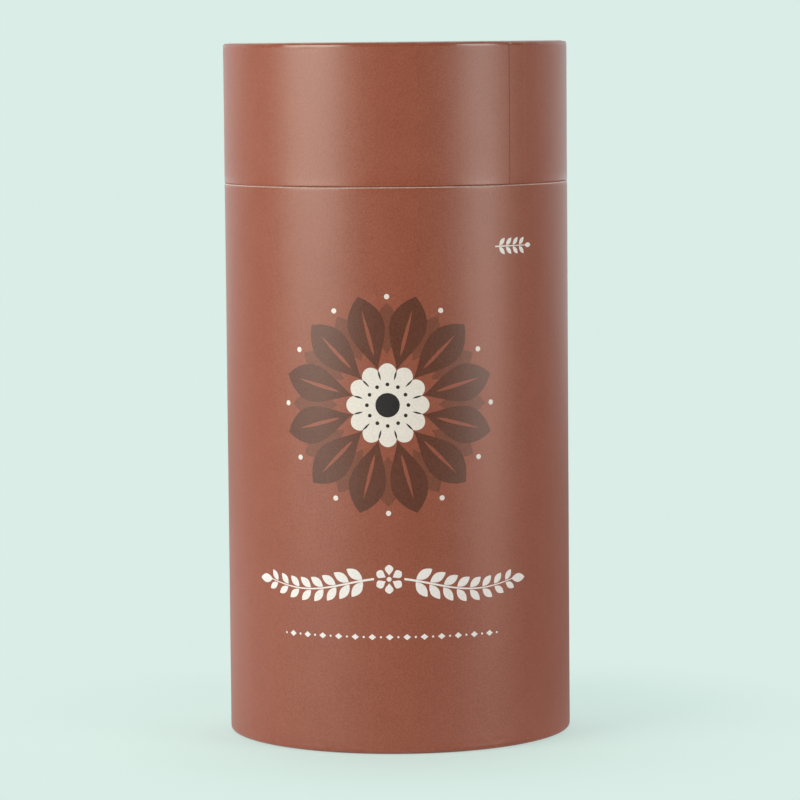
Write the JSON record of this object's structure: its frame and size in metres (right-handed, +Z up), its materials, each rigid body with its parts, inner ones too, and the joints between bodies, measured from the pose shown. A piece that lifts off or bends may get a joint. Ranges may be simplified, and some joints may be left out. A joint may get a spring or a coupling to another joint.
{
  "type": "cylindrical gift tube box",
  "caption": "Tall round paper tube gift box with an inner neck and a flush pull-off lid, wrapped in matt printed paper and lined inside.",
  "frame": {"origin": "centre of the standing plane, under the cover sheet of the base", "axes": "+Z up along the tube's axis; the printed front faces -Y, and +X is to the right of someone facing it"},
  "size_m": [0.174, 0.174, 0.35],
  "materials": {
    "printed_wrap": "matte",
    "lining_paper": "matte",
    "greyboard": "matte"
  },
  "bodies": {
    "base": {"base_tube": "greyboard", "base_wrap": "printed_wrap", "base_disc": "greyboard", "base_sheet": "printed_wrap", "neck_tube": "greyboard", "neck_wrap": "lining_paper", "base_lining": "lining_paper", "floor_sheet": "lining_paper"},
    "lid": {"lid_tube": "greyboard", "lid_wrap": "printed_wrap", "lid_disc": "greyboard", "lid_sheet": "printed_wrap", "lid_lining": "lining_paper", "ceiling_sheet": "lining_paper"}
  },
  "joints": [
    {"name": "lid_lift", "type": "slide", "parent": "base", "child": "lid", "axis": [0, 0, 1], "range_m": [0, 0.09]}
  ]
}
